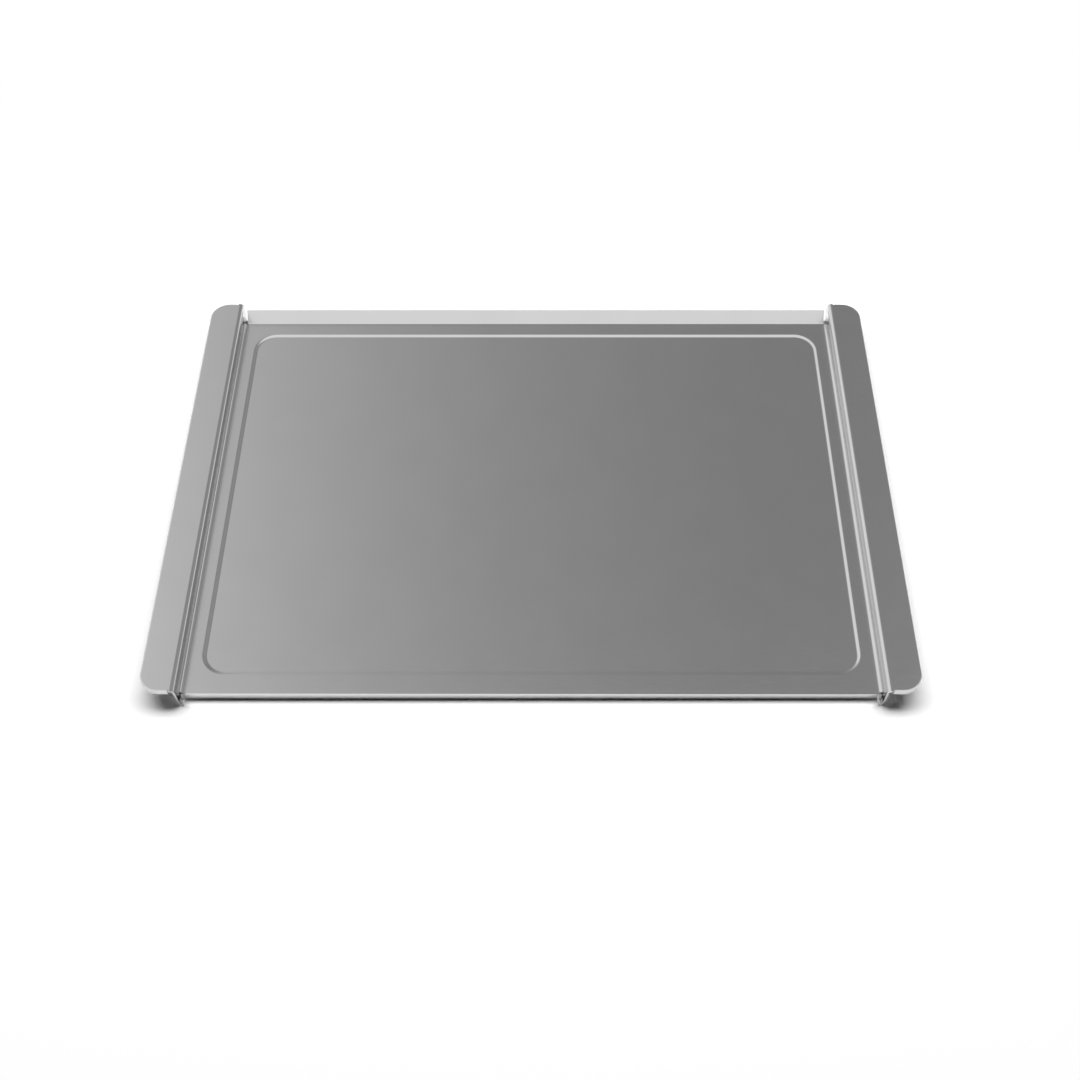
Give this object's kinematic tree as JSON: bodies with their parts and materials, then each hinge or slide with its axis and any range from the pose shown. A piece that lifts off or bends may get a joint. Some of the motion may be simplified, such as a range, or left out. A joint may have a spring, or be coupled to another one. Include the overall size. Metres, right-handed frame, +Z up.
{
  "type": "cookie sheet",
  "caption": "Flat aluminium oven sheet with raised side wings for runners, a shallow recessed baking surface, a turned-down front and a low leaning rear lip.",
  "frame": {"origin": "middle of the footprint, at the level of the table it stands on", "axes": "+X to the right along the long side, +Y from the front edge to the rear lip, +Z up"},
  "size_m": [0.6, 0.4, 0.024],
  "materials": {
    "sheet_metal": "smooth satin, as rolled"
  },
  "bodies": {
    "root": {"left_wing": "sheet_metal", "right_wing": "sheet_metal", "left_wing_rim": "sheet_metal", "right_wing_rim": "sheet_metal", "left_wall": "sheet_metal", "right_wall": "sheet_metal", "left_foot": "sheet_metal", "right_foot": "sheet_metal", "pan_border": "sheet_metal", "recess_step": "sheet_metal", "baking_panel": "sheet_metal", "front_edge": "sheet_metal", "rear_lip": "sheet_metal"}
  },
  "joints": []
}
